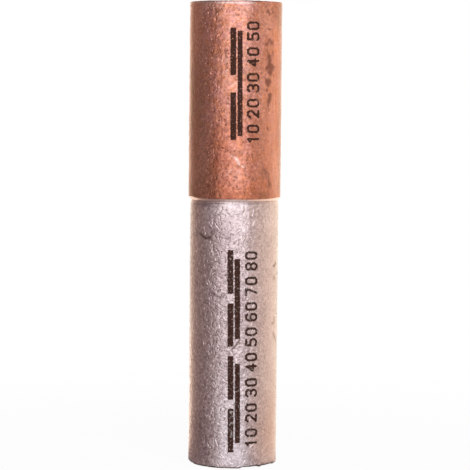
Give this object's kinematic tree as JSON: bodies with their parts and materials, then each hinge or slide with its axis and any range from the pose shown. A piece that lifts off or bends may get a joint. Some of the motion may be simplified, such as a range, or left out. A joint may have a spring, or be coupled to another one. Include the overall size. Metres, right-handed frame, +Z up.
{
  "type": "bimetallic reducing connector",
  "caption": "Round copper barrel joined end to end with a slimmer aluminium barrel, each bored blind from its own mouth for a crimped cable conductor.",
  "frame": {"origin": "middle of the aluminium barrel's mouth face, which the connector stands on", "axes": "+Z up along the common axis, from the aluminium mouth to the copper mouth; the crimp marks face -Y"},
  "size_m": [0.0125, 0.0124, 0.0624],
  "materials": {
    "aluminium": "turned, then tumbled: dull silver with fine scratches and small dents",
    "copper": "turned, then tumbled: salmon copper with small dents and brown tarnish"
  },
  "bodies": {
    "root": {"aluminium_barrel": "aluminium", "copper_barrel": "copper"}
  },
  "joints": []
}
